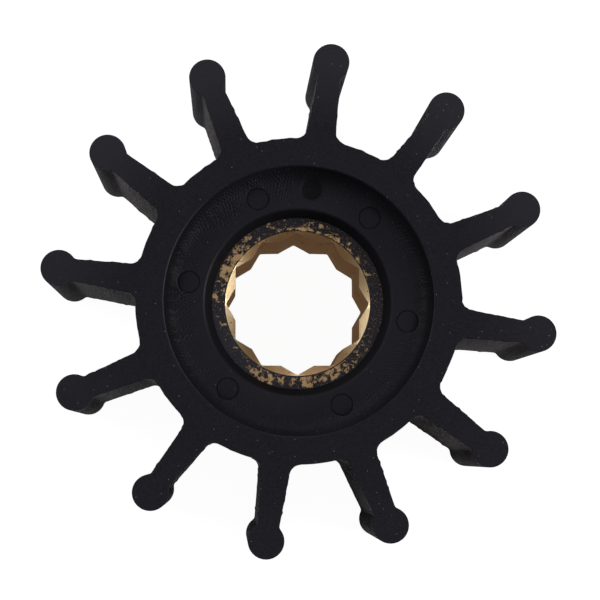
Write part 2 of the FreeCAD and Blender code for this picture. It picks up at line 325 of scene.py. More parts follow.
# The lining of the recesses is drawn as half a section in front of the axis: rim, wall, hollow
# corner, floor, lip and funnel, then the bond round the insert. It is mirrored to the lower end
# and turned right round the axis.
WALL_STEPS = 2
FLOOR_STEPS = 3
FUNNEL_STEPS = 4
funnel_lean = math.atan2(LIP_RADIUS - FUNNEL_FOOT, FUNNEL_DEPTH)
lip_reach = LIP_EDGE * math.tan((math.pi / 2 - funnel_lean) / 2)
lip_place = LIP_RADIUS + lip_reach
lip_end_place = lip_place - LIP_EDGE * math.cos(funnel_lean)
lip_end_height = UPPER_FLOOR - LIP_EDGE + LIP_EDGE * math.sin(funnel_lean)
lining = start_at("lining", RIM_RADIUS + RIM_EDGE, 0, TOP)
draw_arc((RIM_RADIUS + RIM_EDGE, 0, TOP - RIM_EDGE), 90, RIM_STEPS, SECTION_AXIS)
for _ in range(WALL_STEPS):
    draw_point(0, 0, (RIM_EDGE + RECESS_CORNER - RECESS_DEPTH) / WALL_STEPS)
draw_arc(
    (RIM_RADIUS - RECESS_CORNER, 0, UPPER_FLOOR + RECESS_CORNER), -90, CORNER_STEPS, SECTION_AXIS
)
for _ in range(FLOOR_STEPS):
    draw_point((lip_place - RIM_RADIUS + RECESS_CORNER) / FLOOR_STEPS, 0, 0)
draw_arc(
    (lip_place, 0, UPPER_FLOOR - LIP_EDGE), 90 - math.degrees(funnel_lean), LIP_STEPS, SECTION_AXIS
)
funnel_across = (FUNNEL_FOOT - lip_end_place) / FUNNEL_STEPS
funnel_down = (INSERT_TOP + BOND_LINE - lip_end_height) / FUNNEL_STEPS
for _ in range(FUNNEL_STEPS):
    draw_point(funnel_across, 0, funnel_down)
draw_point(INSERT_RADIUS + BOND_LINE - FUNNEL_FOOT, 0, 0)
draw_point(0, 0, TOP / 2 - INSERT_TOP - BOND_LINE)
add_mirrored((1, 1, -1), (0, 0, TOP / 2))
turn_round(SECTOR_STEPS * BLADE_COUNT)
make_active(rubber)
lining.select_set(True)
bpy.ops.object.join()
close_up(rubber)

# The ejector pins left flat round ends just under the floor, each in a thin witness line. They
# stand about in line with every second blade, a little off even sixths.
pin_cutter = start_at("pin_cutter", 0, 0, UPPER_FLOOR + RECESS_CORNER)
draw_point(PIN_MARK_RADIUS, 0, 0)
draw_point(0, 0, -RECESS_CORNER - PIN_MARK_DEPTH)
draw_point(-PIN_MARK_LINE, 0, 0)
draw_point(0, 0, PIN_MARK_DEPTH - PIN_END_DEPTH)
draw_point(PIN_MARK_LINE - PIN_MARK_RADIUS, 0, 0)
turn_round(MARK_STEPS)
close_up(pin_cutter)
pin_mark_middles = [(*around(PIN_MARK_PLACE, degrees), 0) for degrees in PIN_MARK_ANGLES]
cutters = []
for middle in pin_mark_middles:
    mark = pin_cutter.copy()
    mark.data = pin_cutter.data.copy()
    bpy.context.collection.objects.link(mark)
    mark.data.transform(Matrix.Translation(middle))
    cutters.append(mark)
bpy.data.objects.remove(pin_cutter)

# The dimple is dished, with a soft edge whose profile falls by these shares of its depth.
DIMPLE_EDGE_FALLS = (0.15, 0.4, 0.3, 0.15)
dimple_cutter = start_at("dimple_cutter", 0, 0, UPPER_FLOOR + RECESS_CORNER)
draw_point(DIMPLE_RADIUS + DIMPLE_EDGE, 0, 0)
draw_point(0, 0, -RECESS_CORNER)
for fall in DIMPLE_EDGE_FALLS:
    draw_point(-DIMPLE_EDGE / 2, 0, -DIMPLE_DEPTH * fall)
draw_point(-DIMPLE_RADIUS + DIMPLE_EDGE, 0, 0)
turn_round(MARK_STEPS)
close_up(dimple_cutter)
dimple_middle = (*around(DIMPLE_PLACE, DIMPLE_ANGLE), 0)
dimple_cutter.data.transform(Matrix.Translation(dimple_middle))
cutters.append(dimple_cutter)
for cutter in cutters:
    cut_away(rubber, cutter)
smooth(rubber, SHARP_RUBBER_EDGE)


def linear(colour):
    """An sRGB hex colour such as 202024 as the linear colour that a shader takes."""
    levels = [int(colour[place : place + 2], 16) / 255 for place in (0, 2, 4)]
    return (*[level / 12.92 if level <= 0.04045 else ((level + 0.055) / 1.055) ** 2.4 for level in levels], 1)


def add(material, kind, settings=(), links=()):
    """Add a shader node. Settings are (input or property, value) pairs. Links are (input, source)
    pairs, and a source is an output or a node, which stands for its first output."""
    tree = material.node_tree
    node = tree.nodes.new("ShaderNode" + kind)
    for name, value in settings:
        if isinstance(name, int) or name in node.inputs:
            node.inputs[name].default_value = value
        else:
            setattr(node, name, value)
    for name, source in links:
        output = source.outputs[0] if isinstance(source, bpy.types.Node) else source
        tree.links.new(output, node.inputs[name])
    return node


def with_empty_nodes(material):
    """The same material, or world, with an empty node tree."""
    material.use_nodes = True
    material.node_tree.nodes.clear()
    return material


# Press-moulded nitrile rubber is a dead black that only shines where light grazes it. It has a
# fine grain from the blasted steel, streaks along the mould's milling and pale dust. The grain is
# drawn a little coarser than the real one, so that it shows.
RUBBER_BLACK = "100f12"
RUBBER_GREY = "1e1d22"
# The next grey is painted light on the blades' ends and the dished floor.
PAINTED_LIGHT_GREY = "2e2d33"
DUST_GREY = "757377"
# The next black is the dimple's dark skin and painted shade in the hollow corner and the funnel.
SKIN_AND_SHADE_BLACK = "08080a"
# The next grey is a painted highlight on the rim and lip at the picture's left.
HIGHLIGHT_GREY = "3e3c41"
RUBBER_GLOSS = 0.08
RUBBER_GLOSS_TINT = "f0eaf6"
RUBBER_ROUGHNESS = 0.53
STREAK_ROUGHNESS = 0.14
FUNNEL_ROUGHNESS = 0.9
BULB_ROUGHNESS = 0.85
RUBBED_ROUGHNESS = 0.38
GRAIN_SIZE = 0.22 * MM
GRAIN_DEPTH = 0.02 * MM
STREAK_WIDTH = 0.35 * MM
STREAK_DEPTH = 0.06 * MM
DUST_SPACING = 1.3 * MM
DUST_SIZE = 0.17 * MM

nitrile = with_empty_nodes(bpy.data.materials.new("moulded_nitrile_rubber"))
rubber_place = add(nitrile, "TexCoord").outputs["Object"]
rubber_axes = add(nitrile, "SeparateXYZ", [], [(0, rubber_place)]).outputs
rubber_across = add(
    nitrile, "VectorMath", [("operation", "MULTIPLY"), (1, (1, 1, 0))], [(0, rubber_place)]
)
rubber_radius = add(
    nitrile, "VectorMath", [("operation", "LENGTH")], [(0, rubber_across)]
).outputs["Value"]
from_middle = add(nitrile, "Math", [("operation", "SUBTRACT"), (1, TOP / 2)], [(0, rubber_axes["Z"])])
from_middle = add(nitrile, "Math", [("operation", "ABSOLUTE")], [(0, from_middle)])
upper_side = add(nitrile, "Math", [("operation", "GREATER_THAN"), (1, TOP / 2)], [(0, rubber_axes["Z"])])
picture_side = add(
    nitrile,
    "VectorMath",
    [("operation", "DOT_PRODUCT"), (1, tuple(picture_right / RIM_RADIUS))],
    [(0, rubber_place)],
).outputs["Value"]
grain = add(nitrile, "TexNoise", [("Scale", 1 / GRAIN_SIZE), ("Detail", 3)], [("Vector", rubber_place)])

# On the walls, below the outline's edge and outside the rim, the streaks run up and down.
STREAK_SQUASH = (1, 1, 0.06)
wall_depth = add(
    nitrile,
    "MapRange",
    [("From Min", TOP / 2 - 2 * OUTLINE_EDGE), ("From Max", TOP / 2 - 4 * OUTLINE_EDGE)],
    [("Value", from_middle)],
)
wall_reach = add(
    nitrile, "MapRange", [("From Min", HUB_RADIUS - MM), ("From Max", HUB_RADIUS)], [("Value", rubber_radius)]
)
on_wall = add(nitrile, "Math", [("operation", "MULTIPLY")], [(0, wall_depth), (1, wall_reach)])
streak_place = add(nitrile, "Mapping", [("Scale", STREAK_SQUASH)], [("Vector", rubber_place)])
streaks = add(
    nitrile, "TexNoise", [("Scale", 1 / STREAK_WIDTH), ("Detail", 4)], [("Vector", streak_place)]
)
streaks = add(nitrile, "MapRange", [("From Min", 0.35), ("From Max", 0.65)], [("Value", streaks)])
streak_height = add(nitrile, "Math", [("operation", "MULTIPLY")], [(0, streaks), (1, on_wall)])

# The lathe tool's chatter is ridges that run outwards, drawn a little coarser than real. Two sets,
# each a count round the ring and a lean in phase per metre, cross and come and go unevenly.
CHATTER_SETS = ((240, 3600), (222, -5600))
CHATTER_DEPTH = 0.12 * MM
RIDGE_WANDER = 1.6 * MM
RIDGE_SQUASH = 0.25
RIDGE_BEND = 14
round_axis = add(
    nitrile, "Math", [("operation", "ARCTAN2")], [(0, rubber_axes["Y"]), (1, rubber_axes["X"])]
)
ridge_direction = add(nitrile, "VectorMath", [("operation", "NORMALIZE")], [(0, rubber_across)])
ridge_reach = add(nitrile, "Math", [("operation", "MULTIPLY"), (1, RIDGE_SQUASH)], [(0, rubber_radius)])
ridge_reach = add(nitrile, "CombineXYZ", [], [("Z", ridge_reach)])
ridge_place = add(
    nitrile,
    "VectorMath",
    [("operation", "MULTIPLY_ADD"), (1, (PIN_MARK_PLACE, PIN_MARK_PLACE, 0))],
    [(0, ridge_direction), (2, ridge_reach)],
)
uneven = add(
    nitrile, "TexNoise", [("Scale", 1 / RIDGE_WANDER), ("Detail", 1)], [("Vector", ridge_place)]
)
bend = add(nitrile, "Math", [("operation", "MULTIPLY"), (1, RIDGE_BEND)], [(0, uneven)])
chatter_sets = []
for ridge_count, lean_per_metre in CHATTER_SETS:
    phase = add(
        nitrile, "Math", [("operation", "MULTIPLY_ADD"), (1, ridge_count)], [(0, round_axis), (2, bend)]
    )
    phase = add(
        nitrile,
        "Math",
        [("operation", "MULTIPLY_ADD"), (1, lean_per_metre)],
        [(0, rubber_radius), (2, phase)],
    )
    chatter_sets.append(add(nitrile, "Math", [("operation", "SINE")], [(0, phase)]))
chatter = add(
    nitrile, "Math", [("operation", "MAXIMUM")], [(0, chatter_sets[0]), (1, chatter_sets[1])]
)
chatter = add(nitrile, "MapRange", [("From Min", -0.4), ("From Max", 1)], [("Value", chatter)])

# The chatter starts outside the lip, ends at the recess's wall, is strongest towards the upper
# left of the picture, and leaves out the smooth ends of the pin marks and the dimple.
CHATTER_FROM_LIP = 0.8 * MM
CHATTER_FULL_FROM_LIP = 3 * MM
CHATTER_FROM_WALL = 0.4 * MM
CHATTER_FROM_MARK = 0.1 * MM
CHATTER_FULL_FROM_MARK = 0.4 * MM
CHATTER_BETWEEN_PATCHES = 0.3
CHATTER_FAR_SIDE = 0.5
lip_fade = add(
    nitrile,
    "MapRange",
    [("From Min", LIP_RADIUS + CHATTER_FROM_LIP), ("From Max", LIP_RADIUS + CHATTER_FULL_FROM_LIP)],
    [("Value", rubber_radius)],
)
wall_fade = add(
    nitrile,
    "MapRange",
    [("From Min", RIM_RADIUS), ("From Max", RIM_RADIUS - CHATTER_FROM_WALL)],
    [("Value", rubber_radius)],
)
patches = add(
    nitrile,
    "MapRange",
    [("From Min", 0.4), ("From Max", 0.6), ("To Min", CHATTER_BETWEEN_PATCHES)],
    [("Value", uneven)],
)
upper_left = (picture_up - picture_right) * math.sqrt(0.5)
chatter_side = add(
    nitrile,
    "VectorMath",
    [("operation", "DOT_PRODUCT"), (1, tuple(upper_left / RIM_RADIUS))],
    [(0, rubber_place)],
).outputs["Value"]
chatter_side = add(
    nitrile,
    "MapRange",
    [("From Min", 0.2), ("From Max", 0.75), ("To Min", CHATTER_FAR_SIDE)],
    [("Value", chatter_side)],
)
from_dimple = add(
    nitrile, "VectorMath", [("operation", "DISTANCE"), (1, dimple_middle)], [(0, rubber_across)]
).outputs["Value"]
from_marks = from_dimple
for middle in pin_mark_middles:
    from_mark = add(
        nitrile, "VectorMath", [("operation", "DISTANCE"), (1, middle)], [(0, rubber_across)]
    ).outputs["Value"]
    from_marks = add(nitrile, "Math", [("operation", "MINIMUM")], [(0, from_marks), (1, from_mark)])
clear_of_marks = add(
    nitrile,
    "MapRange",
    [
        ("From Min", PIN_MARK_RADIUS + CHATTER_FROM_MARK),
        ("From Max", PIN_MARK_RADIUS + CHATTER_FULL_FROM_MARK),
    ],
    [("Value", from_marks)],
)
chatter_height = chatter
for share in (lip_fade, wall_fade, patches, chatter_side, clear_of_marks):
    chatter_height = add(nitrile, "Math", [("operation", "MULTIPLY")], [(0, chatter_height), (1, share)])

# Painted light greys the blades' ends and the dished floor, more of it towards the picture's top and right,
# and lightens the chatter's ridges as painted highlights.
TIP_LIGHT_FROM_HUB = 2 * MM
FLOOR_LIGHT_FROM_WALL = 1.2 * MM
FAINTEST_PAINTED_LIGHT = 0.08
STRONGEST_PAINTED_LIGHT = 0.45
FLOOR_PAINTED_LIGHT = 0.8
FLOOR_LIGHT_ALL_OVER = 0.2
FLOOR_LIGHT_RIGHT = 0.18
CHATTER_PAINTED_HIGHLIGHT = 0.18
tip_painted_light = add(
    nitrile,
    "MapRange",
    [("From Min", HUB_RADIUS + TIP_LIGHT_FROM_HUB), ("From Max", BULB_PLACE)],
    [("Value", rubber_radius)],
)
painted_light_side = add(
    nitrile,
    "VectorMath",
    [("operation", "DOT_PRODUCT"), (1, tuple(picture_up / TIP_RADIUS))],
    [(0, rubber_place)],
).outputs["Value"]
painted_light_side = add(
    nitrile,
    "MapRange",
    [("From Min", -0.7), ("From Max", 0.6), ("To Min", FAINTEST_PAINTED_LIGHT), ("To Max", STRONGEST_PAINTED_LIGHT)],
    [("Value", painted_light_side)],
)
tip_painted_light = add(nitrile, "Math", [("operation", "MULTIPLY")], [(0, tip_painted_light), (1, painted_light_side)])
floor_painted_light = add(
    nitrile,
    "MapRange",
    [
        ("From Min", RIM_RADIUS - FLOOR_LIGHT_FROM_WALL),
        ("From Max", RIM_RADIUS - RECESS_CORNER),
        ("To Max", FLOOR_PAINTED_LIGHT),
    ],
    [("Value", rubber_radius)],
)
floor_light_side = add(nitrile, "Math", [("operation", "ADD"), (1, FLOOR_LIGHT_ALL_OVER)], [(0, painted_light_side)])
floor_light_side = add(
    nitrile,
    "Math",
    [("operation", "MULTIPLY_ADD"), (1, FLOOR_LIGHT_RIGHT)],
    [(0, picture_side), (2, floor_light_side)],
)
floor_painted_light = add(nitrile, "Math", [("operation", "MULTIPLY")], [(0, floor_painted_light), (1, floor_light_side)])
floor_painted_light = add(
    nitrile,
    "Math",
    [("operation", "MULTIPLY_ADD"), (1, CHATTER_PAINTED_HIGHLIGHT)],
    [(0, chatter_height), (2, floor_painted_light)],
)
painted_light = add(nitrile, "Math", [("operation", "MAXIMUM")], [(0, tip_painted_light), (1, floor_painted_light)])

# Painted shade darkens the hollow corner, most of all at the picture's left and right, and the funnel; the
# dimple keeps a darker skin of its own.
HOLLOW_DARKEST_FROM_WALL = 1.5 * MM
FUNNEL_DARKEST_INSIDE_LIP = 0.3 * MM
LEAST_DARK_HOLLOW = 0.15
DARKEST_HOLLOW = 0.75
DARK_FUNNEL = 0.85
DARK_DIMPLE = 0.55
hollow_painted_shade = add(
    nitrile,
    "MapRange",
    [("From Min", RIM_RADIUS - RECESS_CORNER), ("From Max", RIM_RADIUS - HOLLOW_DARKEST_FROM_WALL)],
    [("Value", rubber_radius)],
)
in_recess = add(
    nitrile, "Math", [("operation", "LESS_THAN"), (1, RIM_RADIUS + 5 * NEARBY)], [(0, rubber_radius)]
)
hollow_painted_shade = add(nitrile, "Math", [("operation", "MULTIPLY")], [(0, hollow_painted_shade), (1, in_recess)])
hollow_shade_side = add(nitrile, "Math", [("operation", "ABSOLUTE")], [(0, picture_side)])
hollow_shade_side = add(
    nitrile,
    "MapRange",
    [("From Min", 0.3), ("From Max", 0.9), ("To Min", LEAST_DARK_HOLLOW), ("To Max", DARKEST_HOLLOW)],
    [("Value", hollow_shade_side)],
)
hollow_painted_shade = add(nitrile, "Math", [("operation", "MULTIPLY")], [(0, hollow_painted_shade), (1, hollow_shade_side)])
in_funnel = add(
    nitrile,
    "MapRange",
    [
        ("From Min", lip_place),
        ("From Max", LIP_RADIUS - FUNNEL_DARKEST_INSIDE_LIP),
        ("To Max", DARK_FUNNEL),
    ],
    [("Value", rubber_radius)],
)
in_dimple = add(
    nitrile,
    "MapRange",
    [("From Min", DIMPLE_RADIUS), ("From Max", DIMPLE_RADIUS - DIMPLE_EDGE), ("To Max", DARK_DIMPLE)],
    [("Value", from_dimple)],
)
in_dimple = add(nitrile, "Math", [("operation", "MULTIPLY")], [(0, in_dimple), (1, upper_side)])
skin_and_painted_shade = hollow_painted_shade
for place in (in_funnel, in_dimple):
    skin_and_painted_shade = add(nitrile, "Math", [("operation", "MAXIMUM")], [(0, skin_and_painted_shade), (1, place)])

# The rounded rim and lip are rubbed smooth, the lip on the picture's left only. On the picture's left a
# painted highlight lightens rim and lip to grey.
HIGHLIGHT_SHARE = 0.36
rim_edge = add(
    nitrile, "Math", [("operation", "LESS_THAN"), (1, RIM_RADIUS + 0.4 * RIM_EDGE)], [(0, rubber_radius)]
)
rim_top = add(nitrile, "Math", [("operation", "GREATER_THAN"), (1, TOP / 2 - RIM_EDGE)], [(0, from_middle)])
rim_edge = add(nitrile, "Math", [("operation", "MULTIPLY")], [(0, rim_edge), (1, rim_top)])
lip_edge = add(
    nitrile, "Math", [("operation", "LESS_THAN"), (1, lip_place - 0.35 * LIP_EDGE)], [(0, rubber_radius)]
)
lip_top = add(
    nitrile,
    "Math",
    [("operation", "GREATER_THAN"), (1, TOP / 2 - RECESS_DEPTH - LIP_EDGE)],
    [(0, from_middle)],
)
lip_edge = add(nitrile, "Math", [("operation", "MULTIPLY")], [(0, lip_edge), (1, lip_top)])
lip_side = add(nitrile, "MapRange", [("From Min", 0.1), ("From Max", -0.5)], [("Value", picture_side)])
lip_edge = add(nitrile, "Math", [("operation", "MULTIPLY")], [(0, lip_edge), (1, lip_side)])
rubbed = add(nitrile, "Math", [("operation", "MAXIMUM")], [(0, rim_edge), (1, lip_edge)])
painted_highlight_side = add(
    nitrile,
    "MapRange",
    [("From Min", -0.62), ("From Max", -0.88), ("To Max", HIGHLIGHT_SHARE)],
    [("Value", picture_side)],
)
rim_painted_highlight = add(nitrile, "Math", [("operation", "MULTIPLY")], [(0, rubbed), (1, painted_highlight_side)])

# The bulbs' round sides are scuffed dull where they wipe round the pump.
BULB_SCUFF = 0.6
bulb_share = add(
    nitrile,
    "MapRange",
    [("From Min", web_end - MM), ("From Max", BULB_PLACE - BULB_RADIUS / 2), ("To Max", BULB_SCUFF)],
    [("Value", rubber_radius)],
)
bulb_share = add(nitrile, "Math", [("operation", "MULTIPLY")], [(0, bulb_share), (1, on_wall)])

# The rubber's colour takes each layer in turn over the grain, and its roughness likewise.
dust_cells = add(nitrile, "TexVoronoi", [("Scale", 1 / DUST_SPACING)], [("Vector", rubber_place)])
dust = add(
    nitrile,
    "MapRange",
    [("From Min", DUST_SIZE / 2 / DUST_SPACING), ("From Max", DUST_SIZE / 4 / DUST_SPACING)],
    [("Value", dust_cells)],
)
grain_share = add(nitrile, "MapRange", [("From Min", 0.3), ("From Max", 0.7)], [("Value", grain)])
black = add(
    nitrile,
    "Mix",
    [("data_type", "RGBA"), (6, linear(RUBBER_BLACK)), (7, linear(RUBBER_GREY))],
    [(0, grain_share)],
).outputs[2]
# Of these layers the first is painted light, the second real dust, the third a dark skin and painted shade,
# the last a painted highlight.
for share, colour in (
    (painted_light, PAINTED_LIGHT_GREY),
    (dust, DUST_GREY),
    (skin_and_painted_shade, SKIN_AND_SHADE_BLACK),
    (rim_painted_highlight, HIGHLIGHT_GREY),
):
    black = add(
        nitrile, "Mix", [("data_type", "RGBA"), (7, linear(colour))], [(0, share), (6, black)]
    ).outputs[2]
rubber_roughness = add(
    nitrile,
    "Math",
    [("operation", "MULTIPLY_ADD"), (1, STREAK_ROUGHNESS), (2, RUBBER_ROUGHNESS)],
    [(0, streak_height)],
)
for share, level in (
    (in_funnel, FUNNEL_ROUGHNESS),
    (bulb_share, BULB_ROUGHNESS),
    (rubbed, RUBBED_ROUGHNESS),
):
    rubber_roughness = add(
        nitrile, "Mix", [("data_type", "FLOAT"), (3, level)], [(0, share), (2, rubber_roughness)]
    )
rubber_bump = add(nitrile, "Bump", [("Distance", GRAIN_DEPTH)], [("Height", grain)])
for depth, height in ((STREAK_DEPTH, streak_height), (CHATTER_DEPTH, chatter_height)):
    rubber_bump = add(
        nitrile, "Bump", [("Distance", depth)], [("Height", height), ("Normal", rubber_bump)]
    )
nitrile_surface = add(
    nitrile,
    "BsdfPrincipled",
    [("Specular IOR Level", RUBBER_GLOSS), ("Specular Tint", linear(RUBBER_GLOSS_TINT))],
    [("Base Color", black), ("Roughness", rubber_roughness), ("Normal", rubber_bump)],
)
add(nitrile, "OutputMaterial", [], [("Surface", nitrile_surface)])
rubber.data.materials.append(nitrile)

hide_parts("rubber_impeller")
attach(rubber, "root")


# The insert: a bush of cast bronze, turned to length, then broached with two hexagons that make
# the twelve-point bore, and countersunk at both ends to lead the shaft in. The rubber of the
# mould flashed over its end faces, and that film has worn through in patches.
ACROSS_FLATS = 23.0 * MM
POINT_COUNT = 12
HALF_POINT_PITCH = 15
BORE_CLOCKING = 7.7
POINT_CORNER = 120
POINT_ROUNDING = 0.5 * MM
MOUTH_RADIUS = 13.45 * MM
MOUTH_EDGE = 0.08 * MM
LEAD_IN_SLOPE = 1.54 / 1.6
COUNTERSINK_DEPTH = 3 * MM
TOOTH_RADIUS = ACROSS_FLATS / 2 / math.cos(math.radians(HALF_POINT_PITCH))
POINT_RADIUS = ACROSS_FLATS / 2 / math.cos(math.radians(2 * HALF_POINT_PITCH))
POINT_STEPS = 4
OUTSIDE_STEPS = 8
MOUTH_STEPS = 120
SHARP_BRONZE_EDGE = 25


def draw_line_to(start, finish):
    """Extrude the selected point from one place to another at the same height."""
    draw_point(finish.x - start.x, finish.y - start.y, 0)


first_tooth = around(TOOTH_RADIUS, BORE_CLOCKING - HALF_POINT_PITCH)
next_tooth = around(TOOTH_RADIUS, BORE_CLOCKING + HALF_POINT_PITCH)
rounding_turn = 180 - POINT_CORNER
rounding_reach = POINT_ROUNDING / math.sin(math.radians(POINT_CORNER / 2))
point_centre = around(POINT_RADIUS - rounding_reach, BORE_CLOCKING)
point_start = point_centre + around(POINT_ROUNDING, BORE_CLOCKING - rounding_turn / 2)
point_end = point_centre + around(POINT_ROUNDING, BORE_CLOCKING + rounding_turn / 2)
bush = start_at("bronze_bush", first_tooth.x, first_tooth.y, INSERT_TOP)
draw_line_to(first_tooth, point_start)
draw_arc((*point_centre, 0), rounding_turn, POINT_STEPS)
draw_line_to(point_end, next_tooth)
draw_line_to(next_tooth, around(INSERT_RADIUS, BORE_CLOCKING + HALF_POINT_PITCH))
draw_arc((0, 0, 0), -360 / POINT_COUNT, OUTSIDE_STEPS)
draw_line_to(around(INSERT_RADIUS, BORE_CLOCKING - HALF_POINT_PITCH), first_tooth)
extrude_sectors(POINT_COUNT, INSERT_LENGTH)
bpy.ops.object.mode_set(mode="OBJECT")
close_up(bush)

# The countersink with its broken edge is turned as one cutter, and mirrored to the lower end.
countersink = start_at("countersink", 0, 0, INSERT_TOP + MM)
draw_point(MOUTH_RADIUS + MOUTH_EDGE, 0, 0)
draw_point(0, 0, -MM)
draw_point(-MOUTH_EDGE, 0, -MOUTH_EDGE / 2)
draw_point(-COUNTERSINK_DEPTH * LEAD_IN_SLOPE, 0, -COUNTERSINK_DEPTH)
draw_point(COUNTERSINK_DEPTH * LEAD_IN_SLOPE - MOUTH_RADIUS, 0, 0)
add_mirrored((1, 1, -1), (0, 0, TOP / 2))
turn_round(MOUTH_STEPS)
close_up(countersink)
cut_away(bush, countersink)
smooth(bush, SHARP_BRONZE_EDGE)

# Cast bronze that was turned and broached is a warm yellow brown, satin rather than bright, with
# small dark casting pits and faint broach lines along the bore. Lines and cast grain are drawn a
# little coarser than the real ones, so that they show.
BRONZE_BROWN = "bb966e"
BRONZE_YELLOW = "cfaa80"
FRESH_CUT = "efcb98"
# The next colour is a painted highlight on the countersink's two sides.
CONE_HIGHLIGHT_YELLOW = "f4e6bc"
PIT_BROWN = "3a2a1c"
FILM_BLACK = "2f2f35"
BRONZE_EDGE_TINT = "e0c6a8"
FILM_GLOSS = 0.08
BORE_ROUGHNESS = 0.48
CONE_ROUGHNESS = 0.4
FILM_ROUGHNESS = 0.65
BROACH_DEPTH = 0.015 * MM
CAST_DEPTH = 0.06 * MM
FILM_DEPTH = 0.06 * MM
PIT_SPACING = 1.2 * MM
PIT_SIZE = 0.36 * MM
BROACH_LINE = 0.3 * MM
MOTTLE_SIZE = 3 * MM
CHIP_SIZE = 1.3 * MM
SPECK_SIZE = 0.26 * MM
CAST_GRAIN = 0.3 * MM

bronze = with_empty_nodes(bpy.data.materials.new("machined_cast_bronze"))
bronze_place = add(bronze, "TexCoord").outputs["Object"]
bronze_axes = add(bronze, "SeparateXYZ", [], [(0, bronze_place)]).outputs
bronze_across = add(
    bronze, "VectorMath", [("operation", "MULTIPLY"), (1, (1, 1, 0))], [(0, bronze_place)]
)
bronze_radius = add(
    bronze, "VectorMath", [("operation", "LENGTH")], [(0, bronze_across)]
).outputs["Value"]
bronze_rise = add(bronze, "Math", [("operation", "SUBTRACT"), (1, TOP / 2)], [(0, bronze_axes["Z"])])
bronze_rise = add(bronze, "Math", [("operation", "ABSOLUTE")], [(0, bronze_rise)])
on_end = add(
    bronze,
    "Math",
    [("operation", "GREATER_THAN"), (1, INSERT_LENGTH / 2 - MOUTH_EDGE * 0.6)],
    [(0, bronze_rise)],
)
above_bore = add(
    bronze,
    "Math",
    [("operation", "GREATER_THAN"), (1, INSERT_LENGTH / 2 - (MOUTH_RADIUS - TOOTH_RADIUS) / LEAD_IN_SLOPE)],
    [(0, bronze_rise)],
)
mouth_side = add(
    bronze,
    "VectorMath",
    [("operation", "DOT_PRODUCT"), (1, tuple(picture_right / MOUTH_RADIUS))],
    [(0, bronze_across)],
).outputs["Value"]

# On the end faces the film of rubber still covers most of the ring, and the metal shows where it
# has chipped and rubbed off. Each pair is a direction in degrees and how bare the ring is there.
BARE_SHARES = (
    (20, 0.2),
    (50, 0.42),
    (75, 0.38),
    (100, 0.52),
    (122, 0.42),
    (145, 0.69),
    (172, 0.6),
    (188, 0.52),
    (202, 0.32),
    (215, 0.3),
    (235, 0.46),
    (252, 0.61),
    (275, 0.49),
    (303, 0.61),
    (330, 0.38),
)
COVERED_SHARE = 0.14
turned = add(
    bronze, "Math", [("operation", "ARCTAN2")], [(0, bronze_axes["Y"]), (1, bronze_axes["X"])]
)
turned = add(bronze, "Math", [("operation", "DIVIDE"), (1, math.tau)], [(0, turned)])
turned = add(bronze, "Math", [("operation", "FRACT")], [(0, turned)])
bare_ramp = add(bronze, "ValToRGB", [], [("Fac", turned)])
for degrees, share in BARE_SHARES:
    stop = bare_ramp.color_ramp.elements.new(degrees / 360)
    stop.color = (share, share, share, 1)
for end in (0, -1):
    bare_ramp.color_ramp.elements[end].color = (COVERED_SHARE, COVERED_SHARE, COVERED_SHARE, 1)

# The ring stays covered along its outer edge and right at the mouth. On one side, only a band
# just outside the mouth is rubbed bare.
OUTER_COVER_WIDTH = 0.8 * MM
OUTER_COVER = 0.22
BARE_EDGE_DIRECTION = 50
BARE_EDGE_WIDTH = 0.8 * MM
BARE_EDGE = 0.4
MOUTH_COVER_WIDTH = 0.3 * MM
MOUTH_COVER = 0.35
outer_cover = add(
    bronze,
    "MapRange",
    [("From Min", FUNNEL_FOOT - OUTER_COVER_WIDTH), ("From Max", FUNNEL_FOOT), ("To Max", OUTER_COVER)],
    [("Value", bronze_radius)],
)
bare_share = add(bronze, "Math", [("operation", "SUBTRACT")], [(0, bare_ramp), (1, outer_cover)])
edge_band = add(
    bronze,
    "MapRange",
    [("From Min", MOUTH_RADIUS + BARE_EDGE_WIDTH), ("From Max", MOUTH_RADIUS)],
    [("Value", bronze_radius)],
)
edge_side = add(
    bronze,
    "VectorMath",
    [("operation", "DOT_PRODUCT"), (1, (*around(1, BARE_EDGE_DIRECTION) / MOUTH_RADIUS, 0))],
    [(0, bronze_across)],
).outputs["Value"]
edge_side = add(
    bronze,
    "MapRange",
    [("From Min", 0.5), ("From Max", 0.9), ("To Max", BARE_EDGE)],
    [("Value", edge_side)],
)
bare_share = add(
    bronze, "Math", [("operation", "MULTIPLY_ADD")], [(0, edge_band), (1, edge_side), (2, bare_share)]
)
mouth_cover = add(
    bronze,
    "MapRange",
    [
        ("From Min", MOUTH_RADIUS + MOUTH_COVER_WIDTH),
        ("From Max", MOUTH_RADIUS + MOUTH_COVER_WIDTH / 3),
        ("To Max", MOUTH_COVER),
    ],
    [("Value", bronze_radius)],
)
bare_share = add(bronze, "Math", [("operation", "SUBTRACT")], [(0, bare_share), (1, mouth_cover)])

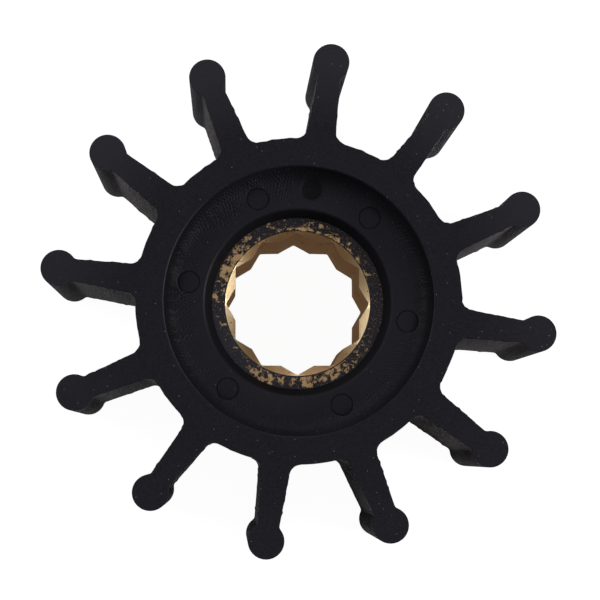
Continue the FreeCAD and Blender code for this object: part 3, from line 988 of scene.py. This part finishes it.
# Chips are where a rough noise passes a level set by that share. Crumbs of film stay on in them,
# and specks of metal show through the rest, fewer of them on the picture's left.
FULLY_COVERED_LEVEL = 0.69
FULLY_BARE_LEVEL = 0.35
CHIP_EDGE = 0.02
CRUMB_SHARE = 0.85
SPECK_SHARE = 0.8
FEWEST_SPECKS = 0.3
chips = add(
    bronze,
    "TexNoise",
    [("Scale", 1 / CHIP_SIZE), ("Detail", 8), ("Roughness", 0.75), ("Distortion", 0.2)],
    [("Vector", bronze_place)],
)
chip_level = add(
    bronze,
    "MapRange",
    [("To Min", FULLY_COVERED_LEVEL), ("To Max", FULLY_BARE_LEVEL)],
    [("Value", bare_share)],
)
bare = add(bronze, "Math", [("operation", "SUBTRACT")], [(0, chips), (1, chip_level)])
bare = add(bronze, "MapRange", [("From Max", CHIP_EDGE)], [("Value", bare)])
speckle = add(bronze, "TexNoise", [("Scale", 1 / SPECK_SIZE), ("Detail", 2)], [("Vector", bronze_place)])
crumbs = add(
    bronze,
    "MapRange",
    [("From Min", 0.38), ("From Max", 0.33), ("To Max", CRUMB_SHARE)],
    [("Value", speckle)],
)
bare = add(bronze, "Math", [("operation", "SUBTRACT"), ("use_clamp", True)], [(0, bare), (1, crumbs)])
specks = add(
    bronze,
    "MapRange",
    [("From Min", 0.62), ("From Max", 0.72), ("To Max", SPECK_SHARE)],
    [("Value", speckle)],
)
speck_side = add(
    bronze,
    "MapRange",
    [("From Min", -0.8), ("From Max", 0.5), ("To Min", FEWEST_SPECKS)],
    [("Value", mouth_side)],
)
specks = add(bronze, "Math", [("operation", "MULTIPLY")], [(0, specks), (1, speck_side)])
bare = add(bronze, "Math", [("operation", "MAXIMUM")], [(0, bare), (1, specks)])
covered = add(bronze, "Math", [("operation", "SUBTRACT"), (0, 1)], [(1, bare)])
covered = add(bronze, "Math", [("operation", "MULTIPLY")], [(0, covered), (1, on_end)])

# The metal is mottled and fresher where the countersink cut it last, and a painted highlight lightens the
# cone's two sides. The pits are drawn out along the bore, as the broach left them.
FRESH_SHARE = 0.42
CONE_HIGHLIGHT_SHARE = 0.5
LINE_SQUASH = (1, 1, 0.02)
PIT_SQUASH = (1, 1, 0.15)
mottle = add(bronze, "TexNoise", [("Scale", 1 / MOTTLE_SIZE), ("Detail", 3)], [("Vector", bronze_place)])
mottle = add(bronze, "MapRange", [("From Min", 0.35), ("From Max", 0.65)], [("Value", mottle)])
fresh_cut = add(bronze, "Math", [("operation", "MULTIPLY"), (1, FRESH_SHARE)], [(0, above_bore)])
cone_highlight_side = add(bronze, "Math", [("operation", "ABSOLUTE")], [(0, mouth_side)])
cone_highlight_side = add(
    bronze,
    "MapRange",
    [("From Min", 0.6), ("From Max", 0.85), ("To Max", CONE_HIGHLIGHT_SHARE)],
    [("Value", cone_highlight_side)],
)
on_cone = add(bronze, "Math", [("operation", "SUBTRACT")], [(0, above_bore), (1, on_end)])
cone_painted_highlight = add(bronze, "Math", [("operation", "MULTIPLY")], [(0, on_cone), (1, cone_highlight_side)])
pit_place = add(bronze, "Mapping", [("Scale", PIT_SQUASH)], [("Vector", bronze_place)])
pit_cells = add(bronze, "TexVoronoi", [("Scale", 1 / PIT_SPACING)], [("Vector", pit_place)])
pits = add(
    bronze,
    "MapRange",
    [("From Min", PIT_SIZE / 2 / PIT_SPACING), ("From Max", PIT_SIZE / 4 / PIT_SPACING)],
    [("Value", pit_cells)],
)
bronze_colour = add(
    bronze,
    "Mix",
    [("data_type", "RGBA"), (6, linear(BRONZE_BROWN)), (7, linear(BRONZE_YELLOW))],
    [(0, mottle)],
).outputs[2]
# Of these layers the second is a painted highlight; the others are the metal's own colour, its pits and the
# rubber film.
for share, colour in (
    (fresh_cut, FRESH_CUT),
    (cone_painted_highlight, CONE_HIGHLIGHT_YELLOW),
    (pits, PIT_BROWN),
    (covered, FILM_BLACK),
):
    bronze_colour = add(
        bronze, "Mix", [("data_type", "RGBA"), (7, linear(colour))], [(0, share), (6, bronze_colour)]
    ).outputs[2]
not_metal = add(bronze, "Math", [("operation", "MAXIMUM")], [(0, covered), (1, pits)])
bronze_metallic = add(bronze, "Math", [("operation", "SUBTRACT"), (0, 1)], [(1, not_metal)])
bronze_roughness = add(
    bronze, "MapRange", [("To Min", BORE_ROUGHNESS), ("To Max", CONE_ROUGHNESS)], [("Value", above_bore)]
)
bronze_roughness = add(
    bronze,
    "Mix",
    [("data_type", "FLOAT"), (3, FILM_ROUGHNESS)],
    [(0, not_metal), (2, bronze_roughness)],
)
line_place = add(bronze, "Mapping", [("Scale", LINE_SQUASH)], [("Vector", bronze_place)])
broach_lines = add(
    bronze, "TexNoise", [("Scale", 1 / BROACH_LINE), ("Detail", 3)], [("Vector", line_place)]
)
cast_grain = add(
    bronze, "TexNoise", [("Scale", 1 / CAST_GRAIN), ("Detail", 2)], [("Vector", bronze_place)]
)
cast_grain = add(bronze, "Math", [("operation", "MULTIPLY")], [(0, cast_grain), (1, above_bore)])
bronze_bump = add(bronze, "Bump", [("Distance", BROACH_DEPTH)], [("Height", broach_lines)])
for depth, height in ((CAST_DEPTH, cast_grain), (FILM_DEPTH, covered)):
    bronze_bump = add(bronze, "Bump", [("Distance", depth)], [("Height", height), ("Normal", bronze_bump)])
bronze_surface = add(
    bronze,
    "BsdfPrincipled",
    [("Specular IOR Level", FILM_GLOSS), ("Specular Tint", linear(BRONZE_EDGE_TINT))],
    [
        ("Base Color", bronze_colour),
        ("Metallic", bronze_metallic),
        ("Roughness", bronze_roughness),
        ("Normal", bronze_bump),
    ],
)
add(bronze, "OutputMaterial", [], [("Surface", bronze_surface)])
bush.data.materials.append(bronze)

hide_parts("bronze_insert")
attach(bush, "root")


# Studio: a sheet of white paper under the impeller, with large soft lamps low at both sides and
# behind it, and a dim ceiling, so that the black end faces mirror little light to the camera.
PAPER_SIZE = 6
PAPER_WHITE = "e6dfdf"
PAPER_SHADOW = "626262"
PAPER_SEEN = 0.96
PAPER_MIRRORED = 0.22

bpy.ops.mesh.primitive_plane_add(size=PAPER_SIZE, location=(0, 0, 0))
floor = bpy.context.object
floor.name = "studio_floor"
paper = with_empty_nodes(bpy.data.materials.new("white_backdrop_paper"))
light_path = add(paper, "LightPath").outputs

# The camera sees the paper white by its own glow, with a faint shadow. Gloss and metal mirror it dimmer, and
# dimmer still towards the picture's lower right, a painted shadow that keeps the flanks there dark.
seen = add(
    paper,
    "Math",
    [("operation", "MAXIMUM")],
    [(0, light_path["Is Camera Ray"]), (1, light_path["Is Glossy Ray"])],
)
seen = add(
    paper, "Math", [("operation", "MAXIMUM")], [(0, seen), (1, light_path["Is Transmission Ray"])]
)
glow = add(
    paper,
    "Mix",
    [("data_type", "FLOAT"), (2, PAPER_MIRRORED), (3, PAPER_SEEN)],
    [(0, light_path["Is Camera Ray"])],
)
paper_place = add(paper, "TexCoord").outputs["Object"]
lower_right = picture_right * 0.5 - picture_up * 0.87
shade_side = add(
    paper,
    "VectorMath",
    [("operation", "DOT_PRODUCT"), (1, tuple(lower_right / TIP_RADIUS))],
    [(0, paper_place)],
).outputs["Value"]
shade = add(
    paper,
    "MapRange",
    [("From Min", 0.28), ("From Max", 0.8), ("To Min", 1), ("To Max", 0)],
    [("Value", shade_side)],
)
shade = add(paper, "Math", [("operation", "MAXIMUM")], [(0, shade), (1, light_path["Is Camera Ray"])])
for share in (seen, shade):
    glow = add(paper, "Math", [("operation", "MULTIPLY")], [(0, glow), (1, share)])
matt_level = add(
    paper,
    "Mix",
    [("data_type", "RGBA"), (6, linear(PAPER_WHITE)), (7, linear(PAPER_SHADOW))],
    [(0, light_path["Is Camera Ray"])],
).outputs[2]
paper_matt = add(paper, "BsdfDiffuse", [], [("Color", matt_level)])
paper_glow = add(paper, "Emission", [("Color", (1, 1, 1, 1))], [("Strength", glow)])
paper_surface = add(paper, "AddShader", [], [(0, paper_matt), (1, paper_glow)])
add(paper, "OutputMaterial", [], [("Surface", paper_surface)])
floor.data.materials.append(paper)

# The ceiling is dim overhead and dimmer towards the horizon, and white where the camera sees it.
HORIZON_LEVEL = 0.19
CEILING_LEVEL = 0.4
CEILING_START = 0.45
world = with_empty_nodes(bpy.data.worlds.new("studio"))
bpy.context.scene.world = world
sky_direction = add(world, "TexCoord").outputs["Generated"]
sky_height = add(world, "SeparateXYZ", [], [(0, sky_direction)]).outputs["Z"]
sky_level = add(
    world,
    "MapRange",
    [("From Min", 0), ("From Max", CEILING_START), ("To Min", HORIZON_LEVEL), ("To Max", CEILING_LEVEL)],
    [("Value", sky_height)],
)
sky_seen = add(world, "LightPath").outputs["Is Camera Ray"]
sky_strength = add(world, "Mix", [("data_type", "FLOAT"), (3, 1.0)], [(0, sky_seen), (2, sky_level)])
sky = add(world, "Background", [("Color", (1, 1, 1, 1))], [("Strength", sky_strength)])
add(world, "OutputWorld", [], [("Surface", sky)])

# Each lamp is a side, a place in metres and a power in watts.
SOFTBOX_SIZE = 0.25
SOFTBOX_AIM = Vector((0, 0, 0.03))
SOFTBOXES = (
    ("right", (0.52, -0.02, 0.26), 3.0),
    ("back", (-0.05, 0.48, 0.27), 1.1),
    ("left", (-0.51, 0.07, 0.26), 1.7),
)
for side, place, power in SOFTBOXES:
    bpy.ops.object.light_add(type="AREA", location=place)
    lamp = bpy.context.object
    lamp.name = "softbox_" + side
    lamp.data.shape = "SQUARE"
    lamp.data.energy = power
    lamp.data.size = SOFTBOX_SIZE
    lamp.rotation_euler = (SOFTBOX_AIM - Vector(place)).to_track_quat("-Z", "Y").to_euler()

bpy.context.scene.view_settings.view_transform = "Standard"
